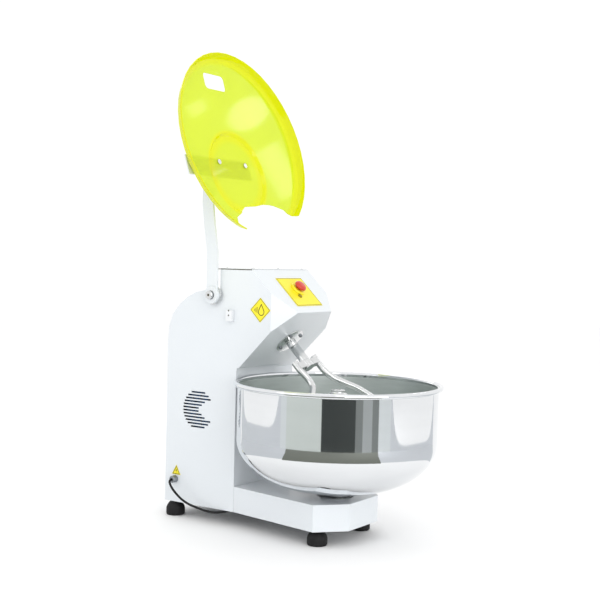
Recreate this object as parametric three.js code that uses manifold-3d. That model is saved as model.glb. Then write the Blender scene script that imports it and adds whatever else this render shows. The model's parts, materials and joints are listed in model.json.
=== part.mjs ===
import * as THREE from 'three';
import { mergeVertices } from 'three/addons/utils/BufferGeometryUtils.js';
import Module from 'manifold-3d';

const wasm = await Module();
wasm.setup();

// Driving dimensions, mm. The origin of the layout is the bowl axis at floor level, +Y to the back.
const LAYOUT_Y = -148;
const GAP = 0.3;
const SHEET = 3;
const HEAD_X = 50;
const HALF = 168;
const FRONT_Y = 338;
const BACK_Y = 646;
const DECK_TOP = 138;
const SKIRT_Z = 50;
const HEAD_TOP = 882;
const HEAD_BACK_Y = 414;
const HEAD_FRONT_Y = 279;
const NOSE_Y = 132;
const NOSE_Z = 741;
const KNEE_Z = 535;
const BOWL_R = 334;
const BOWL_WALL = 4;
const RIM_Z = 508;
const RIM_BEAD = 8;
const RIM_CLEAR_R = 356;
const BOWL_FLOOR = 160;
const POST_R = 32;
const POST_TOP = 490;
const FLANGE = [HEAD_X, 235.5, 637.5];
const TINE_S0 = 112;
const TINE_R = 11.5;
const FORK_REST = 17;
const PIVOT = [436, 791];
const LID = { x: -14, y: 392, z: 1319, r: 336, dish: 32, t: 3 };
const LID_LEAN = Math.atan2(0.3, 0.954);
const ARM_X = -130;
const ARM_T = 8;
const MOTOR = { y: 502, z: 387, r: 78 };
const REDUCER = [HEAD_X, 470, 112];
const WORM_OFFSET = 63;
const PULLEY_X = 170;
const CORD_R = 4;
const GLAND = [599, 131];
const COIL = [278, 545];
const COIL_R = 44;

const C45 = Math.SQRT1_2;
const layout = new THREE.Group();
layout.position.y = LAYOUT_Y;
const root = new THREE.Group();
root.name = 'dough_kneader';
root.add(layout);

const MATERIALS = {
  paint: { color: 0xf1f4f8, roughness: 0.35, metalness: 0.05 },
  steel: { color: 0xc9ccce, roughness: 0.22, metalness: 1 },
  dullSteel: { color: 0x8f9396, roughness: 0.5, metalness: 0.9 },
  mirror: { color: 0xdfe2e4, roughness: 0.08, metalness: 1 },
  cast: { color: 0x55595c, roughness: 0.7, metalness: 0.6 },
  motor: { color: 0x2f4f78, roughness: 0.5, metalness: 0.3 },
  bronze: { color: 0xb08a46, roughness: 0.35, metalness: 0.9 },
  rubber: { color: 0x17181a, roughness: 0.85, metalness: 0 },
  lemon: { color: 0xf2f000, roughness: 0.15, metalness: 0, transparent: true, opacity: 0.75 },
  yellow: { color: 0xf4e21a, roughness: 0.45, metalness: 0 },
  red: { color: 0xd3260f, roughness: 0.35, metalness: 0 },
  olive: { color: 0x8a7a12, roughness: 0.4, metalness: 0 },
  black: { color: 0x1c1d1f, roughness: 0.6, metalness: 0 },
  white: { color: 0xe9ecee, roughness: 0.5, metalness: 0 },
};

function add(name, geometry, material) {
  const mesh = new THREE.Mesh(geometry, new THREE.MeshStandardMaterial(MATERIALS[material]));
  mesh.name = name;
  layout.add(mesh);
}

// Solid operations.
function toSolid(geometry) {
  const g = geometry.clone();
  g.deleteAttribute('normal');
  g.deleteAttribute('uv');
  const values = g.attributes.position.array;
  values.forEach((v, i) => { values[i] = Math.round(v * 1e4) / 1e4; });
  const merged = mergeVertices(g, 1e-4);
  return new wasm.Manifold(new wasm.Mesh({
    numProp: 3,
    vertProperties: new Float32Array(merged.attributes.position.array),
    triVerts: new Uint32Array(merged.index.array),
  }));
}

function toGeometry(solid) {
  const mesh = solid.getMesh();
  const g = new THREE.BufferGeometry();
  g.setAttribute('position', new THREE.BufferAttribute(mesh.vertProperties.slice(), 3));
  g.setIndex(new THREE.BufferAttribute(mesh.triVerts.slice(), 1));
  g.computeVertexNormals();
  return g;
}

const union = (...gs) => toGeometry(gs.map(toSolid).reduce((a, b) => a.add(b)));
const cut = (g, ...tools) => toGeometry(tools.map(toSolid).reduce((a, b) => a.subtract(b), toSolid(g)));
const common = (a, b) => toGeometry(toSolid(a).intersect(toSolid(b)));

// Basic shapes.
function box(x0, x1, y0, y1, z0, z1) {
  const g = new THREE.BoxGeometry(x1 - x0, y1 - y0, z1 - z0);
  return g.translate((x0 + x1) / 2, (y0 + y1) / 2, (z0 + z1) / 2);
}

function rod(r, z0, z1, sides = 14) {
  const g = new THREE.CylinderGeometry(r, r, z1 - z0, sides);
  return g.rotateX(Math.PI / 2).translate(0, 0, (z0 + z1) / 2);
}

function turned(profile, sides = 16) {
  const points = profile.map(([r, z]) => new THREE.Vector2(r, z));
  if (profile[0][0] > 0) points.push(points[0].clone());
  return new THREE.LatheGeometry(points, sides).rotateX(Math.PI / 2);
}

const ring = (rIn, rOut, z0, z1, sides = 16) => turned([[rIn, z0], [rOut, z0], [rOut, z1], [rIn, z1]], sides);

function outline(points) {
  const shape = new THREE.Shape();
  points.forEach(([x, y], i) => (i ? shape.lineTo(x, y) : shape.moveTo(x, y)));
  shape.closePath();
  return shape;
}

function plate(points, z0, z1, holes = []) {
  const shape = outline(points);
  shape.holes = holes.map(outline);
  return new THREE.ExtrudeGeometry(shape, { depth: z1 - z0, bevelEnabled: false }).translate(0, 0, z0);
}

// A profile in Y and Z, extruded along X.
function sideways(points, x0, x1) {
  const swap = new THREE.Matrix4().makeBasis(
    new THREE.Vector3(0, 1, 0), new THREE.Vector3(0, 0, 1), new THREE.Vector3(1, 0, 0));
  return plate(points, x0, x1).applyMatrix4(swap);
}

function arc(cx, cy, r, a0, a1, steps) {
  return Array.from({ length: steps + 1 }, (_, i) => {
    const a = THREE.MathUtils.degToRad(a0 + ((a1 - a0) * i) / steps);
    return [cx + r * Math.cos(a), cy + r * Math.sin(a)];
  });
}

// Moves each side of a counter-clockwise outline inwards by t.
function inset(points, t) {
  const n = points.length;
  const side = (i) => {
    const [x0, y0] = points[(i + n) % n];
    const [x1, y1] = points[(i + 1) % n];
    const l = Math.hypot(x1 - x0, y1 - y0);
    return { x: x0, y: y0, dx: (x1 - x0) / l, dy: (y1 - y0) / l };
  };
  return points.map((_, i) => {
    const a = side(i - 1);
    const b = side(i);
    const p = [a.x - a.dy * t, a.y + a.dx * t];
    const q = [b.x - b.dy * t, b.y + b.dx * t];
    const k = ((q[0] - p[0]) * b.dy - (q[1] - p[1]) * b.dx) / (a.dx * b.dy - a.dy * b.dx);
    return [p[0] + a.dx * k, p[1] + a.dy * k];
  });
}

// Places geometry made about local Z at a point, with local X and Z directions.
function place(geometry, at, x, z) {
  const zv = new THREE.Vector3(...z).normalize();
  const xv = new THREE.Vector3(...x).normalize();
  const yv = new THREE.Vector3().crossVectors(zv, xv).normalize();
  const m = new THREE.Matrix4().makeBasis(xv, yv, zv).setPosition(...at);
  return geometry.clone().applyMatrix4(m);
}

const along = (geometry, x, y, z) => place(geometry, [x, y, z], [0, 1, 0], [1, 0, 0]);

function tube(points, r, sides, steps) {
  const shape = outline(arc(0, 0, r, 0, 360 - 360 / sides, sides - 1));
  const path = new THREE.CatmullRomCurve3(points.map((p) => new THREE.Vector3(...p)), false, 'centripetal');
  return new THREE.ExtrudeGeometry(shape, { steps, extrudePath: path, bevelEnabled: false });
}

// Column and head casing.
const backArc = [[646, 622], [642, 672], [626, 716], [597, 751], [561, 779], [521, 798], [463, 810]];
const profile = [
  [FRONT_Y, SKIRT_Z], [BACK_Y, SKIRT_Z], ...backArc, [HEAD_BACK_Y, 810], [HEAD_BACK_Y, HEAD_TOP],
  [HEAD_FRONT_Y, HEAD_TOP], [NOSE_Y, NOSE_Z], [FRONT_Y, KNEE_Z],
];
const plan = [
  [HEAD_X - 102, NOSE_Y], [HEAD_X + 102, NOSE_Y], [HEAD_X + HALF, 197], [HEAD_X + HALF, BACK_Y + 20],
  [HEAD_X - HALF, BACK_Y + 20], [HEAD_X - HALF, 197],
];
function body(t) {
  const across = sideways(inset(profile, t), HEAD_X - HALF + t, HEAD_X + HALF - t);
  const rimRecess = rod(RIM_CLEAR_R + t, RIM_Z - 38 - t, RIM_Z + 37 + t, 44);
  return cut(common(across, plate(inset(plan, t), -10, 1000)), rimRecess);
}

function ventSlots() {
  const slots = [];
  for (let i = 0; i < 12; i += 1) {
    const z = 60.5 - i * 11;
    const half = Math.sqrt(68 * 68 - z * z);
    const front = Math.abs(z) < 38 ? Math.max(-half, -Math.abs(z) * 1.25 + 4) : -half;
    slots.push(box(HEAD_X - HALF - 5, HEAD_X - HALF + 5, MOTOR.y + front, MOTOR.y + half,
      MOTOR.z + z - 3, MOTOR.z + z + 3));
  }
  return slots;
}

const slope = {
  at: [HEAD_X, HEAD_FRONT_Y, HEAD_TOP],
  x: [1, 0, 0],
  z: [0, NOSE_Z - HEAD_TOP, HEAD_FRONT_Y - NOSE_Y],
};
const onSlope = (g) => place(g, slope.at, slope.x, slope.z);
const STOP_U = -97.7;
const START = [-18.2, -129.3];
const underside = (g) => place(g, FLANGE, [1, 0, 0], [0, 1, 1]);

const rearSheet = [[399, 900], [399, 700], [600, 600], [600, 56], [700, 56], [700, 900]];
const rearRegion = (t) => sideways(inset(rearSheet, t), HEAD_X - HALF + SHEET + t, HEAD_X + HALF - SHEET - t);
const plateSlot = box(HEAD_X - HALF + SHEET, HEAD_X + HALF - SHEET, FRONT_Y - 5, BACK_Y - SHEET, SKIRT_Z - 5, 60);
const shell = cut(body(0), body(SHEET), plateSlot);
const shaftHole = underside(rod(34, -10, 10));
const chainPort = box(-25, 125, FRONT_Y - 5, FRONT_Y + 5, 74, 108);
const topHatch = box(-60, 160, 300, 392, HEAD_TOP - 6, HEAD_TOP + 6);
const pinHole = along(rod(10.3, -8, 8), HEAD_X - HALF, ...PIVOT);
const glandHole = along(rod(8.3, -8, 8), HEAD_X - HALF, ...GLAND);
const switchHole = onSlope(rod(14.6, -8, 8).translate(0, STOP_U, 0));
const startHole = onSlope(rod(8, -8, 8).translate(...START, 0));
const casing = cut(shell, rearRegion(0), shaftHole, chainPort, topHatch, pinHole, glandHole, switchHole,
  startHole, ...ventSlots());
add('column_casing', casing, 'paint');
add('rear_cover', common(shell, rearRegion(GAP)), 'paint');

const topPlan = inset([[HEAD_X - HALF, HEAD_FRONT_Y + 3], [HEAD_X + HALF, HEAD_FRONT_Y + 3],
  [HEAD_X + HALF, HEAD_BACK_Y], [HEAD_X - HALF, HEAD_BACK_Y]], 1);

function screwHead(r, h) {
  return turned([[0, 0], [r, 0], [r, h * 0.6], [r * 0.7, h], [0, h]], 8);
}
const coverScrews = [];
for (const x of [HEAD_X - 150, HEAD_X, HEAD_X + 150]) {
  for (const y of [HEAD_FRONT_Y + 16, HEAD_BACK_Y - 14]) {
    coverScrews.push(screwHead(4, 3.6).translate(x, y, HEAD_TOP + 1.3));
  }
}
add('top_cover', union(plate(topPlan, HEAD_TOP + GAP, HEAD_TOP + 2.3), ...coverScrews), 'paint');

// Base deck, chassis plate and feet.
const baseHalf = [[-118, FRONT_Y - GAP], [-180, -30], [-90, -112], [90, -112], [180, -30], [218, FRONT_Y - GAP]];
const footprint = [[-118, BACK_Y], [-118, FRONT_Y], [-180, -30], [-90, -112], [90, -112], [180, -30],
  [218, FRONT_Y], [218, BACK_Y]];
const spindleHole = rod(62, DECK_TOP - 10, DECK_TOP + 10, 24);
add('base_deck', cut(plate(baseHalf, SKIRT_Z, DECK_TOP), plate(inset(footprint, SHEET), SKIRT_Z - 1, DECK_TOP - SHEET),
  spindleHole), 'paint');

const FEET = [[-134, -19], [134, -19], [-98, 612], [198, 612]];
const studs = FEET.map(([x, y]) => rod(6.3, 40, 70, 12).translate(x, y, 0));
add('chassis_plate', cut(plate(inset(footprint, SHEET + 0.5), 52, 58), ...studs), 'dullSteel');

const foot = turned([[0, 0], [31, 0], [33.5, 4], [33.5, 24], [29, 38], [21, 46], [14, 46.3], [14, 51.7], [6, 51.7],
  [6, 58.3], [11, 58.3], [11, 66], [0, 66]], 12);
const CORNERS = ['front_near', 'front_far', 'rear_near', 'rear_far'];
FEET.forEach(([x, y], i) => add(`foot_${CORNERS[i]}`, foot.clone().translate(x, y, 0), 'rubber'));

// Bowl, its post and its spindle.
const corner = { r: 80, z: BOWL_FLOOR, ar: BOWL_R - 80, az: 165 };
function bowlCurve(t, steps) {
  return Array.from({ length: steps + 1 }, (_, i) => {
    const a = (Math.PI / 2) * (i / steps);
    return [corner.r + (corner.ar - t) * Math.sin(a), corner.z + corner.az - (corner.az - t) * Math.cos(a)];
  });
}
const rimOuter = arc(BOWL_R + 8, RIM_Z, RIM_BEAD, -90, 160, 4);
const bowlProfile = [
  [20, BOWL_FLOOR], ...bowlCurve(0, 5), [BOWL_R, RIM_Z - RIM_BEAD], ...rimOuter,
  [BOWL_R - BOWL_WALL, RIM_Z], ...bowlCurve(BOWL_WALL, 5).reverse(), [20, BOWL_FLOOR + BOWL_WALL],
];
add('bowl', turned(bowlProfile, 40), 'mirror');
const postZ = BOWL_FLOOR + BOWL_WALL + GAP;
add('bowl_post', turned([[0, postZ], [46, postZ], [46, postZ + 5], [POST_R, postZ + 12], [POST_R, POST_TOP - 12],
  [POST_R - 8, POST_TOP - 9], [POST_R - 8, POST_TOP], [0, POST_TOP]], 24), 'steel');
add('bowl_spindle', turned([[0, 64], [17, 64], [17, 140.3], [52, 140.3], [52, 148], [44, 159.7], [19.7, 159.7],
  [19.7, 164], [0, 164]], 20), 'dullSteel');
add('bowl_bearing', ring(17.3, 29.7, 112, 139.7, 20), 'steel');
add('bowl_hub', cut(turned([[30.3, 108], [44, 108], [44, 122], [56, 128], [56, 139], [30.3, 139]], 20),
  rod(30.3, 100, 150, 20)), 'steel');

// Two worm gearboxes of the same make; local Z is the output axis, the worm runs across along local X.
function gearSet(prefix, frame, wheelZ, height, mounting) {
  const shell0 = box(-62, 62, -52, WORM_OFFSET + 30, 4, height);
  const hollow = box(-54, 54, -46, WORM_OFFSET + 24, 14, height - 8);
  const bore = rod(27.5, 0, 20, 16);
  const wormBore = along(rod(9.5, -80, 80, 16), 0, WORM_OFFSET, wheelZ);
  add(`${prefix}_gearbox`, frame(cut(union(shell0, mounting), hollow, bore, wormBore)), 'cast');
  const wheel = turned([[15.3, wheelZ - 12], [42.2, wheelZ - 12], [42.2, wheelZ + 12], [15.3, wheelZ + 12]], 20);
  add(`${prefix}_worm_wheel`, frame(wheel), 'bronze');
  const worm = turned([[0, -66], [9, -66], [9, -34], [20, -34], [20, 34], [9, 34], [9, 160], [0, 160]], 16);
  add(`${prefix}_worm`, frame(along(worm, 0, WORM_OFFSET, wheelZ)), 'dullSteel');
  add(`${prefix}_output_bearing`, frame(ring(15.4, 26.7, 4.5, 13.7, 16)), 'steel');
}

const alongFork = underside;
gearSet('fork', alongFork, 110, 165, box(-70, 70, -56, WORM_OFFSET + 32, 4, 12));
const reducerFrame = (g) => place(g, REDUCER, [1, 0, 0], [0, 0, 1]);
gearSet('bowl', reducerFrame, 55, 100, box(-110, 110, -70, WORM_OFFSET + 50, 4, 12));

// Fork: a vertical shaft in the sloping head, a cross bar and two bent tines.
const flangeProfile = [[17.3, -5.3], [50, -5.3], [55, -3], [55, -GAP], [17.3, -GAP]];
const bolts = [45, 135, 225, 315].map((a) => {
  const p = arc(0, 0, 42, a, a, 1)[0];
  return screwHead(6, 7).rotateX(Math.PI).translate(p[0], p[1], -3);
});
add('fork_flange', underside(union(turned(flangeProfile, 20), ...bolts)), 'steel');
add('fork_shaft', underside(turned([[0, -TINE_S0 + 15], [17, -TINE_S0 + 15], [17, -0], [15, 0], [15, 130],
  [0, 130]], 24)), 'steel');

// The turning frame of the fork: local Z runs down the shaft from the cross bar, local X is the tine plane.
const restAngle = THREE.MathUtils.degToRad(FORK_REST);
const forkOrigin = [HEAD_X, FLANGE[1] - TINE_S0 * C45, FLANGE[2] - TINE_S0 * C45];
const tineX = [Math.cos(restAngle), -Math.sin(restAngle) * C45, Math.sin(restAngle) * C45];
const forkFrame = (g) => place(g, forkOrigin, tineX, [0, -1, -1]);
add('fork_crossbar', forkFrame(cut(union(
  box(-45, 45, -12, 12, -14.7, 9),
  rod(20, -14.7, 13, 16),
), rod(TINE_R + GAP, -40, 40, 20).translate(-45, 0, 0), rod(TINE_R + GAP, -40, 40, 20).translate(45, 0, 0))),
'steel');
const TINE_END = [198, 303];
const TINE_LOWER = [[143, 180], [163, 220], [181, 260], TINE_END];
const TINE_RIGHT = [[45, -24], [45, 14], [46, 40], [53, 64], [68, 88], [92, 115], [120, 145], ...TINE_LOWER];
const TINE_LEFT = [[-45, -24], [-45, 14], [-41, 40], [-40, 64], [-48, 88], [-74, 115], [-112, 145],
  ...TINE_LOWER.map(([rho, s]) => [-rho, s])];
function tine(line) {
  const [endX, endZ] = line[line.length - 1];
  const bar = tube(line.map(([rho, s]) => [rho, 0, s]), TINE_R, 10, 13);
  const tip = new THREE.SphereGeometry(TINE_R, 8, 5).translate(endX, 0, endZ);
  return forkFrame(union(bar, tip));
}
add('fork_tine_left', tine(TINE_LEFT), 'steel');
add('fork_tine_right', tine(TINE_RIGHT), 'steel');

// Motor, pulleys, belts and chain.
const motorAt = (g) => along(g, HEAD_X, MOTOR.y, MOTOR.z);
const bore = motorAt(rod(10.3, -200, 200));
add('motor_body', cut(union(
  motorAt(rod(MOTOR.r, -100, 92, 24)),
  box(-30, 120, MOTOR.y - 62, MOTOR.y + 62, 306.5, 340),
  box(10, 90, MOTOR.y - 30, MOTOR.y + 30, 450, 492),
), bore), 'motor');
const cowlSlots = Array.from({ length: 8 }, (_, i) => box(24, 56, -4, 4, -155, -140).rotateZ((i * Math.PI) / 4));
add('motor_cowl', motorAt(cut(turned([[0, -150], [73, -150], [79, -144], [79, -100.5], [0, -100.5]], 20),
  rod(74, -145, -90, 20), ...cowlSlots)), 'motor');
add('motor_shelf', box(HEAD_X - HALF + 3.3, PULLEY_X - 6, 424, 600, 300, 306.2), 'dullSteel');
add('motor_shaft', motorAt(rod(10, -136, 156, 20)), 'steel');
const blades = Array.from({ length: 6 }, (_, i) => box(14, 68, -1.5, 1.5, -134, -108).rotateZ((i * Math.PI) / 3));
add('motor_fan', motorAt(cut(union(rod(20, -134, -108, 20), rod(60, -110, -108, 24), ...blades),
  rod(10.3, -150, -90))), 'black');

const BELT_FIT = 2.5;
const grooveWidth = 13;
function pulley(r, boreR, x0, grooves) {
  const p = [[boreR, x0], [r + 9, x0]];
  for (let i = 0; i < grooves; i += 1) {
    const g = x0 + 3 + i * (grooveWidth + 2);
    p.push([r + 9, g], [r, g + 2], [r, g + grooveWidth - 2], [r + 9, g + grooveWidth]);
  }
  const end = x0 + 4 + grooves * (grooveWidth + 2);
  p.push([r + 9, end], [boreR, end]);
  return turned(p, 16);
}
const FORK_WORM = [FLANGE[1] + (110 + WORM_OFFSET) * C45, FLANGE[2] + (110 - WORM_OFFSET) * C45];
const BOWL_WORM = [REDUCER[1] + WORM_OFFSET, REDUCER[2] + 55];
const MOTOR_PULLEY_R = 32;
const FORK_PULLEY_R = 52;
const BOWL_PULLEY_R = 48;
add('motor_pulley', along(pulley(MOTOR_PULLEY_R, 10.3, PULLEY_X, 2), 0, MOTOR.y, MOTOR.z), 'cast');
add('fork_pulley', along(pulley(FORK_PULLEY_R, 9.3, PULLEY_X, 1), 0, ...FORK_WORM), 'cast');
add('bowl_pulley', along(pulley(BOWL_PULLEY_R, 9.3, PULLEY_X + grooveWidth + 2, 1), 0, ...BOWL_WORM), 'cast');

// An open belt or chain round two circles, as a band of thickness t.
function loopOutline([ax, ay], ra, [bx, by], rb, steps) {
  const d = Math.hypot(bx - ax, by - ay);
  const base = THREE.MathUtils.radToDeg(Math.atan2(by - ay, bx - ax));
  const tilt = THREE.MathUtils.radToDeg(Math.acos((ra - rb) / d));
  return [...arc(ax, ay, ra, base + tilt, base + 360 - tilt, steps), ...arc(bx, by, rb, base - tilt, base + tilt, steps)];
}
function band(a, ra, b, rb, t, z0, z1) {
  return plate(loopOutline(a, ra + t, b, rb + t, 8), z0, z1, [loopOutline(a, ra, b, rb, 8)]);
}
function belt(b, rb, x0) {
  const loop = band([MOTOR.y, MOTOR.z], MOTOR_PULLEY_R + BELT_FIT, b, rb + BELT_FIT, 7, x0, x0 + 8);
  return loop.applyMatrix4(new THREE.Matrix4().makeBasis(
    new THREE.Vector3(0, 1, 0), new THREE.Vector3(0, 0, 1), new THREE.Vector3(1, 0, 0)));
}
add('fork_belt', belt(FORK_WORM, FORK_PULLEY_R, PULLEY_X + 5.5), 'rubber');
add('bowl_belt', belt(BOWL_WORM, BOWL_PULLEY_R, PULLEY_X + 5.5 + grooveWidth + 2), 'rubber');

const CHAIN_Z = 84;
const BOWL_SPROCKET_R = 76;
const DRIVE_SPROCKET_R = 34;
add('bowl_sprocket', turned([[17.5, CHAIN_Z - 4], [BOWL_SPROCKET_R - 6, CHAIN_Z - 4], [BOWL_SPROCKET_R, CHAIN_Z],
  [BOWL_SPROCKET_R, CHAIN_Z + 4], [BOWL_SPROCKET_R - 6, CHAIN_Z + 8], [30, CHAIN_Z + 8], [30, CHAIN_Z + 20],
  [17.5, CHAIN_Z + 20]], 16), 'dullSteel');
add('bowl_output_shaft', turned([[0, 70], [15, 70], [15, CHAIN_Z - 4], [DRIVE_SPROCKET_R, CHAIN_Z - 4],
  [DRIVE_SPROCKET_R, CHAIN_Z + 8], [15, CHAIN_Z + 8], [15, 190], [0, 190]], 16).translate(HEAD_X, REDUCER[1], 0),
'dullSteel');
add('drive_chain', band([0, 0], BOWL_SPROCKET_R + BELT_FIT, [HEAD_X, REDUCER[1]], DRIVE_SPROCKET_R + BELT_FIT, 9,
  CHAIN_Z - 3, CHAIN_Z + 7), 'dullSteel');

// Switches and stickers.
add('switch_plate', onSlope(cut(plate([[-76, -174], [76, -174], [76, -42.5], [-76, -42.5]], GAP, 2.3),
  rod(14.6, -5, 5).translate(0, STOP_U, 0), rod(8, -5, 5).translate(...START, 0))), 'yellow');
add('stop_housing', onSlope(cut(turned([[11, -30], [13.7, -30], [13.7, 2.6], [27.5, 2.6], [27.5, 8], [25, 10],
  [11, 10]], 20), rod(11, -40, 20)).translate(0, STOP_U, 0)), 'yellow');
add('stop_button', onSlope(turned([[0, -26], [10.5, -26], [10.5, 16], [21, 17], [22, 21], [18, 27], [0, 30]], 20)
  .translate(0, STOP_U, 0)), 'red');
add('start_button', onSlope(turned([[0, -16], [7.5, -16], [7.5, 5], [6, 7], [0, 7]], 12)
  .translate(...START, 0)), 'olive');

const onNear = (g) => place(g, [HEAD_X - HALF, 0, 0], [0, 1, 0], [-1, 0, 0]);
const sticker = (points) => onNear(plate(points.map(([y, z]) => [y, -z]), GAP, 0.9));
const DROP = [241, 747, 42];
add('drop_sticker', sticker([[DROP[0] + DROP[2], DROP[1]], [DROP[0], DROP[1] + DROP[2]],
  [DROP[0] - DROP[2], DROP[1]], [DROP[0], DROP[1] - DROP[2]]]), 'yellow');
add('warning_sticker', sticker([[615, 147], [575, 147], [595, 182]]), 'yellow');

// Safety lid, its arm and its pivot.
const lidFrame = (g) => place(g, [LID.x, LID.y, LID.z], [-1, 0, 0], [0, Math.cos(LID_LEAN), -Math.sin(LID_LEAN)]);
const flipX = (points) => points.map(([x, w]) => [-x, w]);
const dishOuter = [[LID.r - 3, 0], [LID.r, 0], [LID.r, 4], [LID.r - 12, 25], [LID.r - 28, LID.dish], [0, LID.dish]];
const dishInner = [[0, LID.dish - LID.t], [LID.r - 30, LID.dish - LID.t], [LID.r - 14.5, 22], [LID.r - 3, 3]];
const dish = turned([[0, LID.dish], [0, LID.dish - LID.t], ...dishInner.slice(1), ...dishOuter.slice(0, -1),
  [0, LID.dish]], 44);
const NOTCH = [[262, -262], [216, -252], [177, -224], [120, -212], [91, -210], [50, -211], [23, -216], [-44, -222],
  [-74, -245], [-112, -265], [-112, -360], [262, -360]];
const HOLE = { x: -68, w: 229, hx: 56, hw: 29 };
function slotOutline({ x, w, hx, hw }, r) {
  return [
    ...arc(x + hx - r, w - hw + r, r, -90, 0, 4), ...arc(x + hx - r, w + hw - r, r, 0, 90, 4),
    ...arc(x - hx + r, w + hw - r, r, 90, 180, 4), ...arc(x - hx + r, w - hw + r, r, 180, 270, 4),
  ];
}
const BOLT_AT = [[-136, -67], [8, -69]];
const dome = (r0, r1, z0, z1) => turned([[0, z0], [r0, z0], [r1, z1], [0, z1]], 24).translate(47, -103, 0);
add('lid', lidFrame(cut(
  union(dish, dome(154, 142, LID.dish - 2, LID.dish + 8)),
  dome(151, 139, LID.dish - LID.t - 2, LID.dish + 5),
  plate(flipX(NOTCH).reverse(), -20, 60),
  plate(flipX(slotOutline(HOLE, 14)).reverse(), 0, 60),
  ...BOLT_AT.map(([x, w]) => rod(5.3, 0, 60, 16).translate(-x, w, 0)),
)), 'lemon');

const BRACKET_N = LID.dish + 8 + GAP;
const bracket = cut(plate(flipX([[-304, -54], [-304, -121], [37, -121], [37, -54]]), BRACKET_N, BRACKET_N + 5),
  ...BOLT_AT.map(([x, w]) => rod(5.3, 0, 60, 16).translate(-x, w, 0)));
add('lid_bracket', lidFrame(bracket), 'paint');
const lidBolt = turned([[0, LID.dish + 0.5], [9, LID.dish + 0.5], [9, LID.dish + 4.7], [5, LID.dish + 4.7], [5, BRACKET_N + 5.3],
  [9, BRACKET_N + 5.3], [9, BRACKET_N + 11], [0, BRACKET_N + 11]], 10);
BOLT_AT.forEach(([x, w], i) => add(`lid_bolt_${i + 1}`, lidFrame(lidBolt.clone().translate(-x, w, 0)), 'steel'));

function strip(points, width) {
  const left = [];
  const right = [];
  points.forEach(([y, z], i) => {
    const a = points[Math.max(i - 1, 0)];
    const b = points[Math.min(i + 1, points.length - 1)];
    const l = Math.hypot(b[0] - a[0], b[1] - a[1]);
    const n = [-(b[1] - a[1]) / l, (b[0] - a[0]) / l];
    left.push([y + (n[0] * width) / 2, z + (n[1] * width) / 2]);
    right.unshift([y - (n[0] * width) / 2, z - (n[1] * width) / 2]);
  });
  return [...left, ...right];
}
const ARM = [PIVOT, [438, 941], [454, 1043], [462, 1110], [461, 1150], [450, 1190], [436, 1222]];
const armPlate = union(
  sideways(strip(ARM, 46), ARM_X - ARM_T, ARM_X),
  along(rod(30, -ARM_T, 0, 20), ARM_X, ...PIVOT),
  lidFrame(plate(flipX([[-124, -54], [-124, -121], [-116, -121], [-116, -54]]), BRACKET_N + 5.3, 62)),
);
add('lid_arm', cut(armPlate, along(rod(10.3, -60, 60), ARM_X, ...PIVOT)), 'paint');
add('lid_washer', along(cut(turned([[10.3, GAP], [34, GAP], [34, 5], [10.3, 5]], 20), rod(10.3, -5, 20, 20)),
  ARM_X, ...PIVOT), 'steel');
add('lid_pivot_pin', along(turned([[0, -26], [14, -26], [14, -ARM_T - 0.4], [10, -ARM_T - 0.4], [10, 22], [0, 22]], 16),
  ARM_X, ...PIVOT), 'steel');
add('lid_stop', box(HEAD_X - HALF - 14, HEAD_X - HALF - GAP, 352, 378, 704, 741.5), 'white');

// Cord: gland, strain relief, run, coil, tie and plug.
const glandX = HEAD_X - HALF;
add('cable_gland', along(cut(turned([[5, -22], [9, -22], [13, -18], [13, -GAP], [7.6, -GAP], [7.6, 12], [5, 12]], 12),
  rod(5.6, -60, 60)), glandX, ...GLAND), 'dullSteel');
const UNDER_Z = 45.2;
const COIL_Z = [1.6, 33.8];
const CORD = [
  [glandX + 6, ...GLAND], [glandX - 26, GLAND[0], GLAND[1] - 1], [-156, 592, 122], [-160, 576, 105],
  [-158, 558, 88], [-154, 536, 71], [-150, 507, 58], [-146, 472, 50], [-142, 443, 44], [-138, 415, 42],
  [-130, 392, 43.5], [-112, 376, UNDER_Z], [-80, 373, UNDER_Z], [-20, 385, UNDER_Z], [50, 405, UNDER_Z],
  [120, 427, UNDER_Z], [155, 444, 41], [190, 468, 24], [218, 487, 10], [245, 498, 5.8],
  [COIL[0] - 10, COIL[1] - COIL_R - 0.2, 5.8],
];
add('power_cord', tube(CORD, CORD_R, 8, 44), 'black');
add('cord_clip', cut(box(42, 58, 394, 416, 39.6, 51.7), box(40, 60, 398, 412, 40.6, 49.8)), 'black');
add('cord_coil', cut(ring(COIL_R - CORD_R, COIL_R + CORD_R, ...COIL_Z, 20).translate(...COIL, 0),
  box(COIL[0] - 24, COIL[0], COIL[1] - 60, COIL[1] - 30, 0, 10.4)), 'black');
add('cord_tie', cut(box(-5, 5, -8, 8, 0.3, 36), box(-6, 6, -5.5, 5.5, 1.2, 34.8))
  .translate(COIL[0], COIL[1] + COIL_R, 0), 'white');
add('power_plug', union(
  rod(20, -22, 22, 16), turned([[0, 22], [12, 22], [8, 46], [0, 46]], 10),
  ...[-9.5, 9.5].map((x) => rod(2.4, -41, -20, 8).translate(x, 0, 0)),
).rotateX(-Math.PI / 2).translate(COIL[0] - COIL_R, COIL[1] - 111, 20.2), 'black');

export default root;
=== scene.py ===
import json
import math
import bmesh
import bpy
from mathutils import Matrix, Vector

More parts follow.
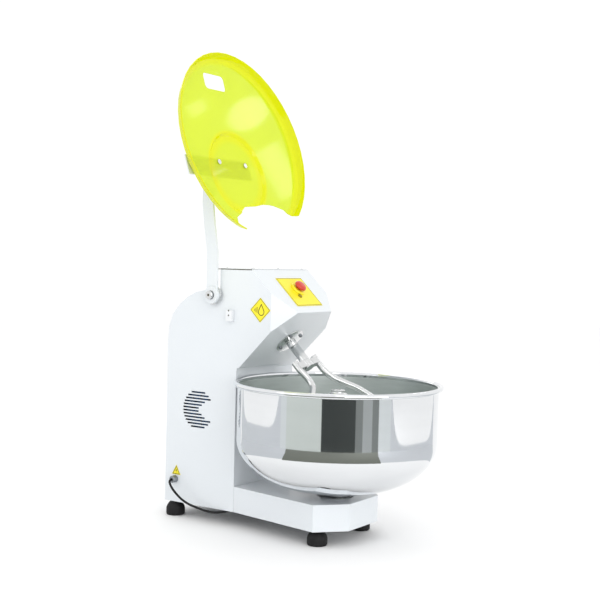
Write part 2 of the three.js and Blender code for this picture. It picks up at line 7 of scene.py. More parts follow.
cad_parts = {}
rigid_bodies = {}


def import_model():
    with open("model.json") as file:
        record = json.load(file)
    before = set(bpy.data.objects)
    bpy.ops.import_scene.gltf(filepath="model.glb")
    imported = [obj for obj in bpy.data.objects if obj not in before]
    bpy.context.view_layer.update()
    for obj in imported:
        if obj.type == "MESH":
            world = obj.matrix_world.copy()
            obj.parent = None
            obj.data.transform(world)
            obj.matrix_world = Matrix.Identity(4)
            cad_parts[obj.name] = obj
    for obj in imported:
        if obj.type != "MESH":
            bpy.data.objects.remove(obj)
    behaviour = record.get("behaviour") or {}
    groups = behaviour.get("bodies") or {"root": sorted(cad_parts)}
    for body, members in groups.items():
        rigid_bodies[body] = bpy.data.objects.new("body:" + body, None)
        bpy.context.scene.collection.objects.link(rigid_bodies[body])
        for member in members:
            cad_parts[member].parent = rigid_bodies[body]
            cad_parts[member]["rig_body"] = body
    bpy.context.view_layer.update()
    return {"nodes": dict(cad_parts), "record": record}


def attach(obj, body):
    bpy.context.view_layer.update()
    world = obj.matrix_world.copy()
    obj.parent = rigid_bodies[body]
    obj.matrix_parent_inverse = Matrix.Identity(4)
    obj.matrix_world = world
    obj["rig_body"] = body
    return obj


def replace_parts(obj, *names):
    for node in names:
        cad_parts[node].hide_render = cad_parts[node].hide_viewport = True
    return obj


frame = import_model()
NODES = frame["nodes"]

# The layout is in millimetres from the bowl's axis at floor level, +Y to the back. The shared frame's
# origin is 148 mm behind that point.
LAYOUT_Y = -148
HEAD_X = 50
HEAD_HALF = 168
HEAD_TOP = 882
SLOPE_TOP_Y = 279
NEAR_SIDE_X = HEAD_X - HEAD_HALF
ARM_X = -130
PIVOT = (436, 791)
FLANGE = Vector((50, 235.5, 637.5))
BOWL_R = 334
RIM_Z = 508
BOWL_WALL = 4
FORK_REST = 17
FORK_DROP = 112
TINE_R = 11.5
CORD_D = 0.008


def at(x, y, z):
    return Vector((x / 1000, (y + LAYOUT_Y) / 1000, z / 1000))


LID_NORMAL = Vector((0, 0.954, -0.3)).normalized()
LID_UP = Vector((0, 0.3, 0.954)).normalized()
LID_CENTRE = at(-14, 392, 1319)
DOME_CENTRE = LID_CENTRE - Vector((0.047, 0, 0)) - LID_UP * 0.103


# ---------------------------------------------------------------- materials
def new_material(name):
    mat = bpy.data.materials.new(name)
    mat.use_nodes = True
    nodes = mat.node_tree.nodes
    return mat, nodes, mat.node_tree.links, nodes["Principled BSDF"]


def noise(nodes, links, scale, stretch=(1, 1, 1)):
    coords = nodes.new("ShaderNodeTexCoord")
    mapping = nodes.new("ShaderNodeMapping")
    mapping.inputs["Scale"].default_value = stretch
    tex = nodes.new("ShaderNodeTexNoise")
    tex.inputs["Scale"].default_value = scale
    tex.inputs["Detail"].default_value = 4
    links.new(coords.outputs["Object"], mapping.inputs["Vector"])
    links.new(mapping.outputs["Vector"], tex.inputs["Vector"])
    return tex.outputs["Fac"]


def spread(nodes, links, fac, low, high):
    ramp = nodes.new("ShaderNodeMapRange")
    ramp.inputs["To Min"].default_value = low
    ramp.inputs["To Max"].default_value = high
    links.new(fac, ramp.inputs["Value"])
    return ramp.outputs["Result"]


def tint(nodes, links, fac, dark, light):
    ramp = nodes.new("ShaderNodeValToRGB")
    ramp.color_ramp.elements[0].color = (*dark, 1)
    ramp.color_ramp.elements[1].color = (*light, 1)
    ramp.color_ramp.elements[0].position = 0.3
    ramp.color_ramp.elements[1].position = 0.7
    links.new(fac, ramp.inputs["Fac"])
    return ramp.outputs["Color"]


def bump(nodes, links, shader, fac, strength):
    node = nodes.new("ShaderNodeBump")
    node.inputs["Strength"].default_value = strength
    node.inputs["Distance"].default_value = 0.001
    links.new(fac, node.inputs["Height"])
    links.new(node.outputs["Normal"], shader.inputs["Normal"])


def surface(name, colour, rough, metal=0.0, grain=60, vary=0.04, relief=0.1, stretch=(1, 1, 1), coat=0.0):
    mat, nodes, links, shader = new_material(name)
    fac = noise(nodes, links, grain, stretch=stretch)
    dark = tuple(c * (1 - vary) for c in colour)
    links.new(tint(nodes, links, fac, dark, colour), shader.inputs["Base Color"])
    links.new(spread(nodes, links, fac, rough * 0.85, min(rough * 1.15, 1)), shader.inputs["Roughness"])
    shader.inputs["Metallic"].default_value = metal
    shader.inputs["Coat Weight"].default_value = coat
    # Dull surfaces mirror less of the white studio.
    shader.inputs["Specular IOR Level"].default_value = 0.3 if rough > 0.5 else 0.5
    bump(nodes, links, shader, fac, relief)
    return mat


def band(nodes, links, centre, axis, stops):
    """A value that follows the distance from a line; stops holds (metres, value) pairs."""
    coords = nodes.new("ShaderNodeTexCoord")
    offset = nodes.new("ShaderNodeVectorMath")
    offset.operation = "SUBTRACT"
    offset.inputs[1].default_value = centre
    across = nodes.new("ShaderNodeVectorMath")
    across.operation = "CROSS_PRODUCT"
    across.inputs[1].default_value = axis
    length = nodes.new("ShaderNodeVectorMath")
    length.operation = "LENGTH"
    ramp = nodes.new("ShaderNodeValToRGB")
    elements = ramp.color_ramp.elements
    while len(elements) < len(stops):
        elements.new(0.5)
    for element, (metres, value) in zip(elements, stops):
        element.position = metres
        element.color = (value, value, value, 1)
    links.new(coords.outputs["Object"], offset.inputs[0])
    links.new(offset.outputs["Vector"], across.inputs[0])
    links.new(across.outputs["Vector"], length.inputs[0])
    links.new(length.outputs["Value"], ramp.inputs["Fac"])
    return ramp.outputs["Color"]


def blend(nodes, links, fac, colour_a, colour_b):
    """A mix of two colours; either is three numbers or a socket."""
    node = nodes.new("ShaderNodeMix")
    node.data_type = "RGBA"
    colour_in = [i for i in node.inputs if i.type == "RGBA"]
    for socket, colour in zip(colour_in, (colour_a, colour_b)):
        if isinstance(colour, tuple):
            socket.default_value = (*colour, 1)
        else:
            links.new(colour, socket)
    links.new(fac, node.inputs["Factor"])
    return next(o for o in node.outputs if o.type == "RGBA")


def lemon_sheet():
    """Clear lemon sheet, with a painted deeper, darker yellow on the dome's wall and the skirt, where the
    sheet is seen edge-on and light crosses more plastic.
    """
    see_through = 0.38
    mat, nodes, links, shader = new_material("lid_lemon")
    fac = noise(nodes, links, 6)
    # Painted shade: the dome's wall and the skirt get a deeper, darker yellow, standing in for the longer
    # light path through the sheet where it is seen edge-on.
    dome = band(nodes, links, DOME_CENTRE, LID_NORMAL,
                [(0, 0.1), (0.108, 0.15), (0.128, 0.85), (0.152, 1), (0.158, 0)])
    skirt = band(nodes, links, LID_CENTRE, LID_NORMAL, [(0, 0), (0.298, 0), (0.312, 0.8), (0.336, 1)])
    painted_deep_max = nodes.new("ShaderNodeMath")
    painted_deep_max.operation = "MAXIMUM"
    links.new(dome, painted_deep_max.inputs[0])
    links.new(skirt, painted_deep_max.inputs[1])
    painted_deep_tint = painted_deep_max.outputs["Value"]
    thin = (0.7, 0.82, 0.015)
    mottled = tint(nodes, links, fac, tuple(c * 0.95 for c in thin), thin)
    links.new(blend(nodes, links, painted_deep_tint, mottled, (0.78, 0.8, 0.0)), shader.inputs["Base Color"])
    through = nodes.new("ShaderNodeBsdfTransparent")
    links.new(blend(nodes, links, painted_deep_tint, (0.92, 0.965, 0.4), (0.92, 0.94, 0.03)), through.inputs["Color"])
    links.new(spread(nodes, links, fac, 0.05, 0.08), shader.inputs["Roughness"])
    mix = nodes.new("ShaderNodeMixShader")
    mix.inputs["Fac"].default_value = see_through
    links.new(shader.outputs["BSDF"], mix.inputs[1])
    links.new(through.outputs["BSDF"], mix.inputs[2])
    links.new(mix.outputs["Shader"], nodes["Material Output"].inputs["Surface"])
    return mat


# In surface(): colour, roughness, metal, grain, variation, relief and the grain's stretch.
MATERIALS = {
    "paint": surface("paint", (0.725, 0.76, 0.79), 0.32, grain=240, vary=0.015, relief=0.03, coat=0.3),
    "dark_steel": surface("dark_steel", (0.32, 0.34, 0.36), 0.45, 1, 90, 0.15),
    "stainless": surface("stainless", (0.72, 0.73, 0.73), 0.16, 1, 70, 0.06, 0.04, (1, 1, 6)),
    "mirror_steel": surface("mirror_steel", (0.79, 0.805, 0.82), 0.045, 1, 5, 0.03, 0.012, (1, 1, 8)),
    "satin_steel": surface("satin_steel", (0.68, 0.725, 0.71), 0.4, 1, 12, 0.08, 0.05, (1, 1, 8)),
    "cast": surface("cast", (0.12, 0.13, 0.14), 0.6, 0.3, 160, 0.2, 0.5),
    "motor_paint": surface("motor_paint", (0.03, 0.09, 0.2), 0.4, 0.1, 120, 0.1),
    "bronze": surface("bronze", (0.5, 0.34, 0.12), 0.3, 1, 80, 0.1),
    "rubber": surface("rubber", (0.008, 0.008, 0.009), 0.6, 0, 220, 0.25, 0.3),
    "black_plastic": surface("black_plastic", (0.015, 0.016, 0.018), 0.45, 0, 260, 0.2, 0.2),
    "white_plastic": surface("white_plastic", (0.78, 0.8, 0.82), 0.4, 0, 200, 0.03, 0.1),
    "lid_plastic": lemon_sheet(),
    "yellow": surface("yellow", (0.9, 0.78, 0.02), 0.35, 0, 30, 0.05, 0.05),
    "red": surface("red", (0.62, 0.035, 0.012), 0.3, 0, 40, 0.1, 0.05, coat=0.4),
    "olive": surface("olive", (0.3, 0.22, 0.01), 0.35, 0, 40, 0.1, 0.05),
    "print": surface("print", (0.05, 0.04, 0.01), 0.5, 0, 90, 0.2, 0.05),
}
SLOT_OF = {s["node"]: s["material_slot"] for s in frame["record"]["subparts"]}


# ---------------------------------------------------------------- shapes
def finish_mesh(name, mesh, slot, angle=35):
    for p in mesh.polygons:
        p.use_smooth = True
    mesh.set_sharp_from_angle(angle=math.radians(angle))
    obj = bpy.data.objects.new(name, mesh)
    bpy.context.scene.collection.objects.link(obj)
    mesh.materials.clear()
    mesh.materials.append(MATERIALS[slot])
    # These two looks are the scene's own: the record has no slot for them.
    return obj


def round_off(obj, width, segments=2):
    mod = obj.modifiers.new("edge", "BEVEL")
    mod.width = width
    mod.segments = segments
    mod.limit_method = "ANGLE"
    mod.angle_limit = math.radians(40)
    mod.harden_normals = True


def stands_for(obj, *nodes):
    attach(obj, NODES[nodes[0]]["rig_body"])
    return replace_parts(obj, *nodes)


def axes(origin, x, z):
    z_axis = Vector(z).normalized()
    x_axis = Vector(x).normalized()
    placed = Matrix((x_axis, z_axis.cross(x_axis), z_axis)).transposed().to_4x4()
    placed.translation = origin
    return placed


UPRIGHT = axes(at(0, 0, 0), (1, 0, 0), (0, 0, 1))
UNDERSIDE = axes(at(*FLANGE), (1, 0, 0), (0, 1, 1))
SLOPE = axes(at(HEAD_X, SLOPE_TOP_Y, HEAD_TOP), (1, 0, 0), (0, -141, 147))


def rectangle(middle, half, y0, y1):
    return [(middle - half, y0), (middle + half, y0), (middle + half, y1), (middle - half, y1)]


def lathe(name, profile, place, slot, sides=96, angle=35):
    """profile holds (radius, height) in mm; it closes on itself or starts and ends on the axis."""
    bm = bmesh.new()
    around = [2 * math.pi * i / sides for i in range(sides)]
    rings = []
    for r, z in profile:
        if r < 1e-6:
            rings.append([bm.verts.new(place @ Vector((0, 0, z / 1000)))])
            continue
        ring = [Vector((r / 1000 * math.cos(a), r / 1000 * math.sin(a), z / 1000)) for a in around]
        rings.append([bm.verts.new(place @ corner) for corner in ring])
    closed = profile[0][0] > 1e-6
    for a, b in zip(rings, rings[1:] + ([rings[0]] if closed else [])):
        for i in range(sides):
            quad = [a[i % len(a)], a[(i + 1) % len(a)], b[(i + 1) % len(b)], b[i % len(b)]]
            corners = list(dict.fromkeys(quad))
            if len(corners) > 2:
                bm.faces.new(corners)
    bmesh.ops.recalc_face_normals(bm, faces=bm.faces)
    mesh = bpy.data.meshes.new(name)
    bm.to_mesh(mesh)
    bm.free()
    return finish_mesh(name, mesh, slot, angle)


def curve_points(points, per_span):
    """A smooth line through the points, with per_span steps between neighbours."""
    out = []
    for i in range(len(points) - 1):
        p0, p1 = points[max(i - 1, 0)], points[i]
        p2, p3 = points[i + 1], points[min(i + 2, len(points) - 1)]
        for k in range(per_span):
            t = k / per_span
            out.append(0.5 * ((2 * p1) + (p2 - p0) * t + (2 * p0 - 5 * p1 + 4 * p2 - p3) * t * t
                              + (3 * p1 - p0 - 3 * p2 + p3) * t ** 3))
    return out + [points[-1]]


def sweep(name, path, radius, slot, sides=24, round_end=False):
    """A tube along a list of points; radius in metres."""
    path = list(path)
    radii = [radius] * len(path)
    if round_end:
        tip = (path[-1] - path[-2]).normalized()
        end = path[-1]
        for a in (25, 50, 70, 84):
            s = math.radians(a)
            path.append(end + tip * radius * math.sin(s))
            radii.append(radius * math.cos(s))
    bm = bmesh.new()
    normal = Vector((0.3, 0.2, 1)).normalized()
    rings = []
    for i, p in enumerate(path):
        t = (path[min(i + 1, len(path) - 1)] - path[max(i - 1, 0)]).normalized()
        normal = (normal - t * normal.dot(t)).normalized()
        side = t.cross(normal)
        rings.append([bm.verts.new(p + (normal * math.cos(a) + side * math.sin(a)) * radii[i])
                      for a in (2 * math.pi * k / sides for k in range(sides))])
    for a, b in zip(rings, rings[1:]):
        for i in range(sides):
            bm.faces.new((a[i], a[(i + 1) % sides], b[(i + 1) % sides], b[i]))
    bm.faces.new(rings[0])
    bm.faces.new(rings[-1])
    bmesh.ops.recalc_face_normals(bm, faces=bm.faces)
    mesh = bpy.data.meshes.new(name)
    bm.to_mesh(mesh)
    bm.free()
    return finish_mesh(name, mesh, slot)


def slab(name, outline, place, z0, z1, slot, hole=None):
    """A flat piece with a straight-sided outline in mm, and an optional hole of as many points."""
    bm = bmesh.new()
    loops = [outline] + ([hole] if hole else [])
    layers = []
    for z in (z0, z1):
        layers.append([[bm.verts.new(place @ Vector((x / 1000, y / 1000, z / 1000))) for x, y in loop]
                       for loop in loops])
    for low, high in zip(*layers):
        for i in range(len(low)):
            j = (i + 1) % len(low)
            bm.faces.new((low[i], low[j], high[j], high[i]))
    for layer in layers:
        if hole:
            outer, inner = layer
            for i in range(len(outer)):
                j = (i + 1) % len(outer)
                bm.faces.new((outer[i], outer[j], inner[j], inner[i]))
        else:
            bm.faces.new(layer[0])
    bmesh.ops.recalc_face_normals(bm, faces=bm.faces)
    mesh = bpy.data.meshes.new(name)
    bm.to_mesh(mesh)
    bm.free()
    return finish_mesh(name, mesh, slot)


def refine(node, width=0.0008, angle=35, segments=2):
    """The CAD node's own faces, joined where flat, with rounded edges."""
    bm = bmesh.new()
    bm.from_mesh(NODES[node].data)
    bmesh.ops.remove_doubles(bm, verts=bm.verts, dist=2e-5)
    bmesh.ops.dissolve_limit(bm, angle_limit=math.radians(1), verts=bm.verts, edges=bm.edges)
    mesh = bpy.data.meshes.new(node + "_look")
    bm.to_mesh(mesh)
    bm.free()
    obj = finish_mesh(node + "_look", mesh, SLOT_OF[node], angle)
    round_off(obj, width, segments)
    return stands_for(obj, node)


# ---------------------------------------------------------------- the machine
def casing():
    for node in ("column_casing", "rear_cover", "base_deck"):
        refine(node, 0.0014)
    for node in ("top_cover", "switch_plate", "chassis_plate", "lid_bracket", "lid_arm", "lid_stop",
                 "lid_washer"):
        refine(node, 0.0006)
    # Painted shadow: a thin dark band in the print finish round the top cover's seam, standing in for the
    # shade in the gap between cover and casing.
    outside = rectangle(HEAD_X, HEAD_HALF + 0.3, SLOPE_TOP_Y, 436)
    inside_edge = rectangle(HEAD_X, HEAD_HALF - 2, SLOPE_TOP_Y + 2, 434)
    seam_shadow = slab("cover_seam_shadow", outside, UPRIGHT, HEAD_TOP - 2.4, HEAD_TOP + 0.05, "print", inside_edge)
    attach(seam_shadow, "frame")
    screw = [(0, 0), (4.4, 0), (4.2, 1), (3, 2), (2, 2.2), (2, 1.2), (0, 1.2)]
    for x in (HEAD_X - 150, HEAD_X, HEAD_X + 150):
        for y in (295, 400):
            spot = axes(at(x, y, HEAD_TOP + 2.4), (1, 0, 0), (0, 0, 1))
            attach(lathe(f"cover_screw_{x}_{y}", screw, spot, "stainless", 24), "frame")


def bowl():
    corner_r, floor_z, arc_r, arc_h = 80, 160, BOWL_R - 80, 165

    def wall_arc(inset):
        """The curve from the flat floor up to the upright wall, inset by this much from the outside."""
        return [(corner_r + (arc_r - inset) * math.sin(math.radians(a)),
                 floor_z + arc_h - (arc_h - inset) * math.cos(math.radians(a))) for a in range(0, 91, 3)]

    rim = [(BOWL_R + 8 + 8 * math.cos(math.radians(a)), RIM_Z + 8 * math.sin(math.radians(a)))
           for a in range(-90, 181, 12)]
    heights = range(340, 500, 20)
    outside = [(20, floor_z), *wall_arc(0), *[(BOWL_R, h) for h in heights], (BOWL_R, RIM_Z - 8)]
    inside_wall = [(BOWL_R - BOWL_WALL, h) for h in reversed(heights)]
    profile = [*outside, *rim, (BOWL_R - BOWL_WALL, RIM_Z), *inside_wall, *reversed(wall_arc(BOWL_WALL)),
               (20, floor_z + BOWL_WALL)]
    stands_for(lathe("bowl_look", profile, UPRIGHT, "mirror_steel", 180, 30), "bowl")
    # The inside is duller than the outside: a satin skin over the inner face.
    skin_t = 0.4
    post_foot = 48
    upright = [(BOWL_R - BOWL_WALL, h) for h in (340, 380, 420, 460, 500)]
    inner = [(post_foot, floor_z + BOWL_WALL), *wall_arc(BOWL_WALL), *upright]
    slopes = [0, *range(0, 91, 3), *[90] * len(upright)]
    skin = [(rad - skin_t * math.sin(math.radians(a)), h + skin_t * math.cos(math.radians(a)))
            for (rad, h), a in zip(inner, slopes)]
    lining = lathe("bowl_lining", [*inner, *reversed(skin)], UPRIGHT, "satin_steel", 180, 30)
    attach(lining, "bowl_set")
    post = [(0, 164.3), (46, 164.3), (46, 168), (44, 170), (36, 171), (32.5, 174), (32, 178), (32, 474),
            (31, 477), (28, 480), (24.6, 481), (24, 483), (24, 488), (22.5, 490), (9, 490), (8, 489),
            (8, 484), (0, 484)]
    stands_for(lathe("bowl_post_look", post, UPRIGHT, "stainless", 72), "bowl_post")
    for node in ("bowl_hub", "bowl_spindle", "bowl_bearing"):
        refine(node, 0.0005)


def fork():
    shaft = [(0, -97), (15.5, -97), (17, -95.5), (17, -30), (16.6, -29), (16.6, -27), (17, -26), (17, 0),
             (15, 0), (15, 130), (0, 130)]
    stands_for(lathe("fork_shaft_look", shaft, UNDERSIDE, "stainless", 64), "fork_shaft")
    flange = [(17.3, -5.3), (20, -5.3), (21, -4.6), (47, -4.6), (53.5, -3.6), (55, -2), (55, -0.3),
              (17.3, -0.3)]
    stands_for(lathe("fork_flange_look", flange, UNDERSIDE, "stainless", 72), "fork_flange")
    bolt = [(0, 0), (6.4, 0), (6.4, 0.8), (6, 1), (6, 4.4), (5.2, 5.2), (3, 5.2), (3, 2), (0, 2)]
    bolt_circle, bolt_seat = 0.042, -0.0046
    for a in (45, 135, 225, 315):
        around = math.radians(a)
        spot = UNDERSIDE @ Vector((bolt_circle * math.cos(around), bolt_circle * math.sin(around), bolt_seat))
        head = lathe(f"flange_bolt_{a}", bolt, axes(spot, (1, 0, 0), (0, -1, -1)), "dark_steel", 24)
        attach(head, "frame")
    rest = math.radians(FORK_REST)
    slant = math.sqrt(0.5)
    origin = at(HEAD_X, FLANGE.y - FORK_DROP * slant, FLANGE.z - FORK_DROP * slant)
    place = axes(origin, (math.cos(rest), -math.sin(rest) * slant, math.sin(rest) * slant), (0, -1, -1))
    refine("fork_crossbar", 0.002, segments=3)
    lower = [(143, 180), (163, 220), (181, 260), (198, 303)]
    right = [(45, -24), (45, -4), (45, 14), (46, 40), (53, 64), (68, 88), (92, 115), (120, 145), *lower]
    left = [(45, -24), (45, -4), (45, 14), (41, 40), (40, 64), (48, 88), (74, 115), (112, 145), *lower]
    for side, node, line in ((-1, "fork_tine_left", left), (1, "fork_tine_right", right)):
        points = [place @ Vector((side * rho / 1000, 0, s / 1000)) for rho, s in line]
        tine = sweep(node + "_look", curve_points(points, 6), TINE_R / 1000, "stainless", 28, round_end=True)
        stands_for(tine, node)


def switches():
    stop_down, start_down, start_left = 0.0977, 0.1293, 0.0182
    stop = SLOPE @ Matrix.Translation((0, -stop_down, 0))
    housing = [(11, -30), (13.7, -30), (13.7, 2.6), (27, 2.6), (27.5, 3.2), (27.5, 7.2), (26.5, 8.6),
               (24.5, 9.8), (16, 10), (14, 9.4), (11, 9.4)]
    stands_for(lathe("stop_housing_look", housing, stop, "yellow", 56), "stop_housing")
    cap = [(0, -26), (10.5, -26), (10.5, 15.6), (20.5, 16.6), (22, 18.4), (22, 21), (20.8, 24), (17, 27.6),
           (11, 29.4), (0, 30)]
    stands_for(lathe("stop_button_look", cap, stop, "red", 56), "stop_button")
    start = SLOPE @ Matrix.Translation((-start_left, -start_down, 0))
    button = [(0, -16), (7.5, -16), (7.5, 4.6), (7, 6), (5.6, 6.8), (0, 7)]
    stands_for(lathe("start_button_look", button, start, "olive", 32), "start_button")
    half, low, high, line_w = 74, -172, -44.5, 1.6
    border = rectangle(0, half, low, high)
    inner = rectangle(0, half - line_w, low + line_w, high - line_w)
    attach(slab("plate_border", border, SLOPE, 2.31, 2.5, "print", inner), "frame")


def stickers_and_shade_dots():
    near = axes(at(NEAR_SIDE_X, 0, 0), (0, 1, 0), (-1, 0, 0))
    refine("drop_sticker", 0.0001)
    refine("warning_sticker", 0.0001)
    cy, cz, half = 241, 747, 42

    def flat(points):
        return [(y, -z) for y, z in points]

    def diamond(inset):
        reach = half - inset
        return flat([(cy + reach, cz), (cy, cz + reach), (cy - reach, cz), (cy, cz - reach)])

    def drop(scale):
        """A round belly with a point above it."""
        angles = [math.radians(a) for a in range(-210, 31, 20)]
        belly = [(cy - 4 + scale * 13 * math.cos(a), cz - 6 + scale * 13 * math.sin(a)) for a in angles]
        return flat([*belly, (cy - 4, cz - 6 + scale * 28)])

    def ink(name, outline, hole=None):
        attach(slab(name, outline, near, 0.91, 1.1, "print", hole), "frame")

    ink("drop_border", diamond(2), diamond(4))
    ink("drop_print", drop(1), drop(0.8))
    for k in range(3):
        y = cy + 12 + k * 5
        low = cz - 10 + 3 * k
        high = cz + 10 - 3 * k
        ink(f"drop_bar_{k}", flat([(y, low), (y + 2, low), (y + 2, high), (y, high)]))
    outer = flat([(612, 148.6), (578, 148.6), (595, 179)])
    inner = flat([(608.5, 150.6), (581.5, 150.6), (595, 175)])
    ink("warning_border", outer, inner)
    bolt = flat([(598, 170), (592, 161), (595.5, 161), (593, 153), (599, 163), (595.5, 163)])
    ink("warning_bolt", bolt)
    # Painted shade: two dark dots in the print finish on the lid stop's end face, standing in for shade
    # there, not for print.
    stop_face_x = -132.05
    for z in (724, 740):
        face = axes(at(stop_face_x, 365, z), (0, 1, 0), (-1, 0, 0))
        dot = lathe(f"stop_shade_dot_{z}", [(0, 0), (2.6, 0), (2.6, 0.5), (0, 0.5)], face, "print", 20)
        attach(dot, "frame")


def feet():
    profile = [(0, 0), (29, 0), (31.5, 1), (33.2, 4), (33.5, 6), (33.5, 22), (32.6, 27), (29.5, 34), (25, 41),
               (21.5, 45), (19, 46.2), (14, 46.3), (14, 51.7), (6, 51.7), (6, 66), (0, 66)]
    for name, x, y in (("front_near", -134, -19), ("front_far", 134, -19), ("rear_near", -98, 612),
                       ("rear_far", 198, 612)):
        look = lathe(f"foot_{name}_look", profile, axes(at(x, y, 0), (1, 0, 0), (0, 0, 1)), "rubber", 56)
        stands_for(look, f"foot_{name}")


def lid():
    refine("lid", 0.0007, angle=16)
    pin = [(0, -26), (12.5, -26), (14, -24.5), (14, -10), (13, -8.4), (10, -8.4), (10, 22), (0, 22)]
    side = axes(at(ARM_X, *PIVOT), (0, 1, 0), (1, 0, 0))
    stands_for(lathe("lid_pivot_look", pin, side, "stainless", 40), "lid_pivot_pin")
    collar = [(15, -13.5), (29, -13.5), (30, -12.6), (30, -8.1), (15, -8.1)]
    hub = lathe("lid_arm_hub", collar, side, "paint", 56)
    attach(hub, "lid_set")
    # Painted shade: a thin dark disc in the print finish on the pin's outer end, standing in for the shade
    # inside its socket.
    socket = lathe("pivot_socket_shade", [(0, -26.2), (5, -26.2), (5, -26), (0, -26)], side, "print", 6)
    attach(socket, "frame")
    for node in ("lid_bolt_1", "lid_bolt_2"):
        refine(node, 0.0006)


def inside():
    """What no piece above stands for yet: the drive and the motor."""
    for node in sorted(NODES):
        if not NODES[node].hide_render:
            refine(node, 0.0005)


def power_cord():
    coil = Vector((278, 545))
    coil_r = 44
    # Heights of the cord's middle: under the chassis plate, and in its lowest turn on the floor.
    under, on_floor = 45.2, 5.8
    plug_x, plug_z = 234, 20.2
    run = [(-112, 599, 131), (-144, 599, 130), (-156, 592, 122), (-160, 576, 105), (-158, 558, 88),
           (-154, 536, 71), (-150, 507, 58), (-146, 472, 50), (-142, 443, 44), (-138, 415, 42),
           (-130, 392, 43.5), (-112, 376, under), (-80, 373, under), (-20, 385, under), (50, 405, under),
           (120, 427, under), (155, 444, 41), (190, 468, 24), (218, 487, 10), (245, 498, on_floor),
           (268, 500.8, on_floor)]
    path = curve_points([at(*p) for p in run], 5)
    steps, turns, pitch = 32, 2.75, 8.7
    helix = []
    for i in range(1, int(steps * turns) + 1):
        a = math.radians(-90) + 2 * math.pi * i / steps
        x = coil.x + coil_r * math.cos(a)
        y = coil.y + coil_r * math.sin(a)
        helix.append(at(x, y, on_floor + pitch * i / steps))
    tail = [helix[-1], at(plug_x, 525, 29), at(plug_x, 505, 25.5), at(plug_x, 486, 21.4),
            at(plug_x, 470, plug_z)]
    path = path + helix + curve_points(tail, 4)[1:]
    cord = sweep("power_cord_look", path, CORD_D / 2, "rubber", 16)
    stands_for(cord, "power_cord", "cord_coil")
    refine("cable_gland", 0.0005)
    refine("cord_clip", 0.0005)
    tie = refine("cord_tie", 0.0004)
    body = axes(at(plug_x, 434, plug_z), (1, 0, 0), (0, 1, 0))
    profile = [(0, -22), (17, -22), (19.4, -20), (20, -17), (20, 14), (18, 20), (12.5, 22.5), (11, 26),
               (8.4, 45), (8, 46), (0, 46)]
    plug = stands_for(lathe("power_plug_look", profile, body, "black_plastic", 48), "power_plug")
    for x in (-9.5, 9.5):
        prong = lathe(f"plug_prong_{x:g}", [(0, -41), (1.6, -41), (2.4, -40), (2.4, -21), (0, -21)],
                      body @ Matrix.Translation((x / 1000, 0, 0)), "stainless", 20)
        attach(prong, "frame")


# ---------------------------------------------------------------- stage
def plain(name, colour, rough):
    mat, nodes, links, shader = new_material(name)
    fac = noise(nodes, links, 3)
    dark = tuple(c * 0.985 for c in colour)
    links.new(tint(nodes, links, fac, dark, colour), shader.inputs["Base Color"])
    shader.inputs["Roughness"].default_value = rough
    shader.inputs["Specular IOR Level"].default_value = 0.2
    return mat


def stage_mesh(name, verts, faces, mat):
    mesh = bpy.data.meshes.new(name)
    mesh.from_pydata(verts, [], faces)
    mesh.materials.append(mat)
    obj = bpy.data.objects.new(name, mesh)
    bpy.context.scene.collection.objects.link(obj)
    return obj


def panel(name, radii, a0, a1, heights, mat, rise=0.0):
    """A curved card or mat round the bowl, which shows only in reflections.

    Angles are in degrees from the camera's side. rise lifts the two ends of the top edge.
    """
    middle = at(0, 0, 0)
    steps = max(6, int(abs(a1 - a0) / 2))
    verts = []
    for i in range(steps + 1):
        u = i / steps
        a = math.radians(CAMERA_SIDE + a0 + (a1 - a0) * u)
        lift = rise * abs(2 * u - 1) ** 8
        for radius, z in zip(radii, (heights[0], heights[1] + lift)):
            verts.append((middle.x + radius * math.cos(a), middle.y + radius * math.sin(a), z))
    faces = [(2 * i, 2 * i + 2, 2 * i + 3, 2 * i + 1) for i in range(steps)]
    obj = stage_mesh(name, verts, faces, mat)
    obj.visible_camera = obj.visible_shadow = obj.visible_diffuse = False


def aim(name, data, place, target):
    obj = bpy.data.objects.new(name, data)
    obj.location = place
    obj.rotation_euler = (Vector(target) - Vector(place)).to_track_quat("-Z", "Y").to_euler()
    bpy.context.scene.collection.objects.link(obj)


def area(name, place, target, size, power, shape="RECTANGLE"):
    data = bpy.data.lights.new(name, "AREA")
    data.shape = shape
    data.size, data.size_y = size
    data.energy = power
    aim(name, data, place, target)


CAMERA = {"lens": 66.3702, "at": (-3102.63, -1956.12, 918.74), "yaw": -55.68, "pitch": -2.08, "roll": 1.38}
CAMERA_SIDE = math.degrees(math.atan2(CAMERA["at"][1], CAMERA["at"][0]))


def camera():
    yaw, pitch, roll = (math.radians(CAMERA[k]) for k in ("yaw", "pitch", "roll"))
    ahead = Vector((-math.sin(yaw) * math.cos(pitch), math.cos(yaw) * math.cos(pitch), math.sin(pitch)))
    right = Vector((math.cos(yaw), math.sin(yaw), 0))
    up = right.cross(ahead)
    rolled_right = right * math.cos(roll) + up * math.sin(roll)
    rolled_up = -right * math.sin(roll) + up * math.cos(roll)
    data = bpy.data.cameras.new("camera")
    data.sensor_width = 36
    data.lens = CAMERA["lens"]
    obj = bpy.data.objects.new("camera", data)
    placed = Matrix((rolled_right, rolled_up, -ahead)).transposed().to_4x4()
    placed.translation = at(*CAMERA["at"])
    obj.matrix_world = placed
    bpy.context.scene.collection.objects.link(obj)
    bpy.context.scene.camera = obj


def backdrop():
    """A white room and a white floor."""
    world = bpy.data.worlds.new("studio")
    world.use_nodes = True
    world.node_tree.nodes["Background"].inputs["Color"].default_value = (1, 1, 1, 1)
    world.node_tree.nodes["Background"].inputs["Strength"].default_value = 1.05
    bpy.context.scene.world = world
    bpy.context.scene.view_settings.view_transform = "Standard"
    half = 14
    corners = [(-half, -half, 0), (half, -half, 0), (half, half, 0), (-half, half, 0)]
    stage_mesh("floor", corners, [(0, 1, 2, 3)], plain("floor", (0.97, 0.97, 0.97), 0.7))


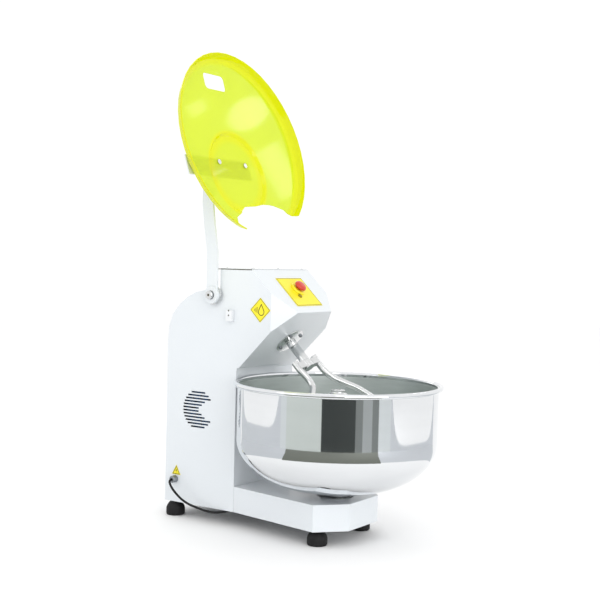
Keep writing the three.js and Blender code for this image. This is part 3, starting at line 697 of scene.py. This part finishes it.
def cards():
    """Grey and dark cards in front of the bowl, and mats on the floor, for the bowl to reflect."""
    greys = {name: plain("card_" + name, colour, 0.9) for name, colour in (
        ("light", (0.66, 0.69, 0.7)), ("mist", (0.6, 0.62, 0.65)), ("grey", (0.6, 0.64, 0.61)),
        ("dark", (0.05, 0.056, 0.054)), ("half", (0.2, 0.215, 0.21)), ("band", (0.36, 0.38, 0.38)),
        ("olive", (0.17, 0.18, 0.155)))}
    far = 2.2
    card_h = 0.42
    mat_z = 0.002
    for a0, a1, tone in ((-61, -54, "light"), (-54, -16, "grey"), (-16, 18.5, "dark"), (18.5, 26, "half"),
                         (26, 36, "band"), (36, 43, "half"), (43, 57, "light")):
        panel(f"card_{a0:g}", (far, far), a0, a1, (0.0, card_h), greys[tone])
    panel("floor_olive", (0.8, far), -54, 43, (mat_z, mat_z), greys["olive"])
    for name, a0, a1, top in (("left", -130, -61, 0.1), ("right", 57, 130, 0.03)):
        panel("sill_" + name, (far, far), a0, a1, (0.0, top), greys["mist"], 0.3)
    for name, a0, a1 in (("left", -130, -54), ("right", 43, 130)):
        panel("floor_" + name, (0.85, far), a0, a1, (mat_z, mat_z), greys["mist"])


def lights():
    """Four soft lights round the machine, three small ones for the lid's patches, and its yellow cast."""
    area("key", (-2.2, -2.6, 3.4), (0, 0, 0.7), (2.0, 2.0), 20)
    area("side", (-3.4, 1.4, 2.4), (0, 0, 0.7), (1.6, 2.4), 8)
    area("back", (2.4, 2.6, 3.0), (0, 0, 0.8), (2.0, 2.0), 12)
    area("fill", (-1.5, -2.9, 0.7), (0, -0.1, 0.8), (2.6, 1.0), 24)
    # Small panes that the open lid mirrors towards the camera, as pale patches.
    area("lid_patch", (2.13, -0.776, 2.604), (0.077, 0.311, 1.437), (0.25, 0.18), 0.35, "ELLIPSE")
    area("lid_patch_low", (2.298, -0.869, 2.272), (0.189, 0.25, 1.24), (0.15, 0.32), 0.35)
    area("lid_patch_small", (1.765, -0.851, 2.648), (-0.214, 0.306, 1.421), (0.1, 0.07), 0.05)
    # The yellow cast of the lid on the side of the head.
    glow = bpy.data.lights.new("lid_glow", "SPOT")
    glow.color = (1, 0.95, 0.12)
    glow.energy = 2.5
    glow.spot_size = math.radians(13)
    glow.spot_blend = 1
    glow.shadow_soft_size = 0.05
    aim("lid_glow", glow, (-1.1, 0.5, 1.3), (-0.118, 0.2, 0.84))


casing()
bowl()
fork()
switches()
stickers_and_shade_dots()
feet()
lid()
power_cord()
inside()
camera()
backdrop()
cards()
lights()
